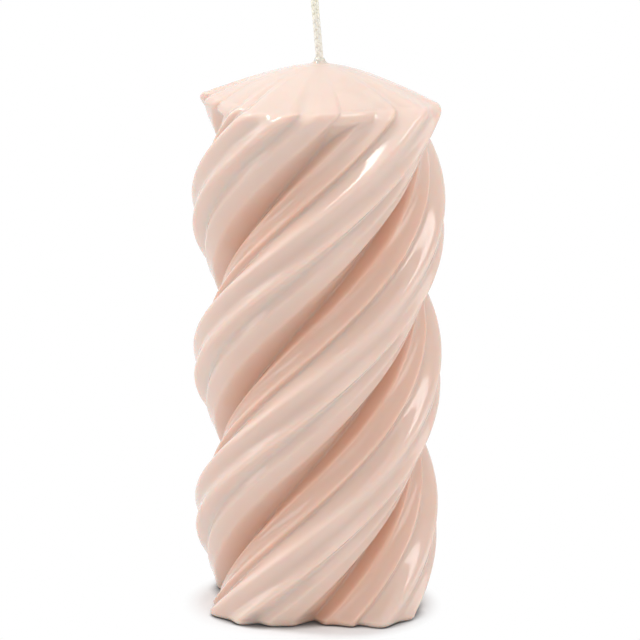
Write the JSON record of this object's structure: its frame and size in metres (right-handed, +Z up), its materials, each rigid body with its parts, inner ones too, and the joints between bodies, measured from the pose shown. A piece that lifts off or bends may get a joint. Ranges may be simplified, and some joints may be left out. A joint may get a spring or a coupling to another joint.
{
  "type": "twisted pillar candle",
  "caption": "Free-standing moulded wax pillar candle with ribbed lobes that twist up to a domed fluted top, and a braided cotton wick.",
  "frame": {"origin": "middle of the flat base, on the surface that the candle stands on", "axes": "+Z up along the wick, -Y towards the picture's viewer, +X to the viewer's right"},
  "size_m": [0.0688, 0.0688, 0.1695],
  "materials": {
    "wax": "glossy blush-pink wax, slightly translucent",
    "cotton": "waxed ivory cotton braid",
    "tinplate": "plain stamped tinplate"
  },
  "bodies": {
    "root": {"wax_body": "wax", "wick": "cotton", "wick_sustainer": "tinplate"}
  },
  "joints": []
}
